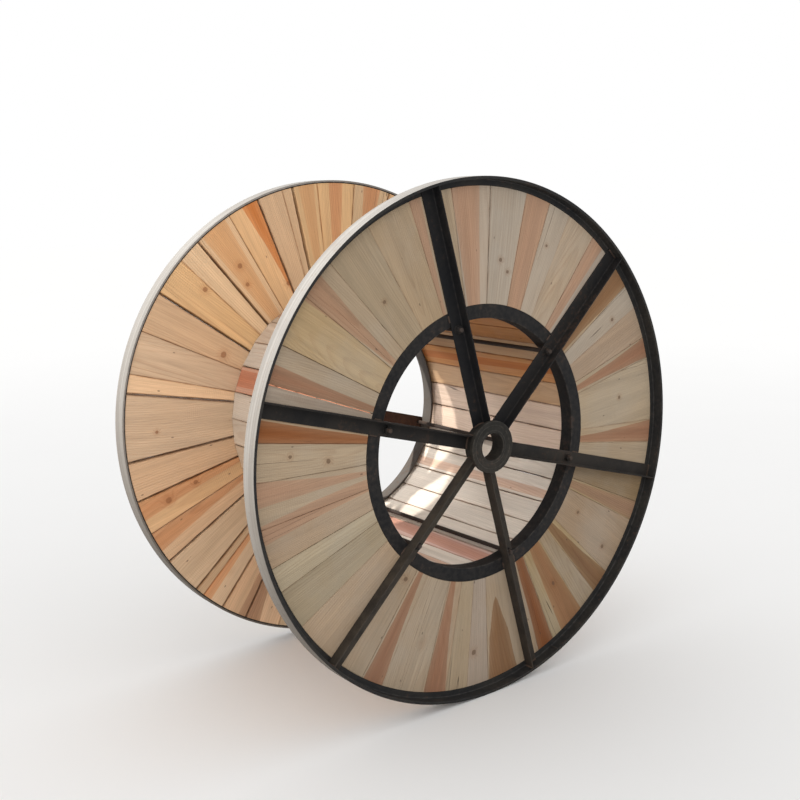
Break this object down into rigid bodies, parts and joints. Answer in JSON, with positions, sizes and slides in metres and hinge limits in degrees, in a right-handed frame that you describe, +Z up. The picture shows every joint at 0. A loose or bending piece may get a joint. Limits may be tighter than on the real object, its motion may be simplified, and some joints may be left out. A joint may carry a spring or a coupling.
{
  "type": "steel and wood cable drum",
  "caption": "Empty cable drum with flanges of radial planks in steel hoops, angle-iron spokes, bored hubs and a barrel of wooden staves.",
  "frame": {"origin": "on the floor below the middle of the drum, between its two flanges", "axes": "+Y along the axle line from the near flange to the far one, +Z up"},
  "size_m": [1.8, 1.005, 1.7996],
  "materials": {
    "hoop_steel": "weathered, dusty pale on the outside and dark inside",
    "frame_steel": "dark, dull, lightly rusted",
    "flange_wood": "rough sawn, weathered",
    "barrel_wood": "rough sawn",
    "rod_steel": "dull, dark"
  },
  "bodies": {
    "root": {"near_hoop": "hoop_steel", "far_hoop": "hoop_steel", "near_ring": "frame_steel", "far_ring": "frame_steel", "near_hub": "frame_steel", "far_hub": "frame_steel", "near_spoke_1": "frame_steel", "near_spoke_2": "frame_steel", "near_spoke_3": "frame_steel", "near_spoke_4": "frame_steel", "near_spoke_5": "frame_steel", "near_spoke_6": "frame_steel", "far_spoke_1": "frame_steel", "far_spoke_2": "frame_steel", "far_spoke_3": "frame_steel", "far_spoke_4": "frame_steel", "far_spoke_5": "frame_steel", "far_spoke_6": "frame_steel", "near_planks_1": "flange_wood", "near_planks_2": "flange_wood", "near_planks_3": "flange_wood", "near_planks_4": "flange_wood", "near_planks_5": "flange_wood", "near_planks_6": "flange_wood", "far_planks_1": "flange_wood", "far_planks_2": "flange_wood", "far_planks_3": "flange_wood", "far_planks_4": "flange_wood", "far_planks_5": "flange_wood", "far_planks_6": "flange_wood", "staves_1": "barrel_wood", "staves_2": "barrel_wood", "staves_3": "barrel_wood", "staves_4": "barrel_wood", "staves_5": "barrel_wood", "staves_6": "barrel_wood", "tie_rod_1": "rod_steel", "tie_rod_2": "rod_steel", "tie_rod_3": "rod_steel", "tie_rod_4": "rod_steel", "tie_rod_5": "rod_steel", "tie_rod_6": "rod_steel", "near_nuts": "rod_steel", "far_nuts": "rod_steel"}
  },
  "joints": []
}
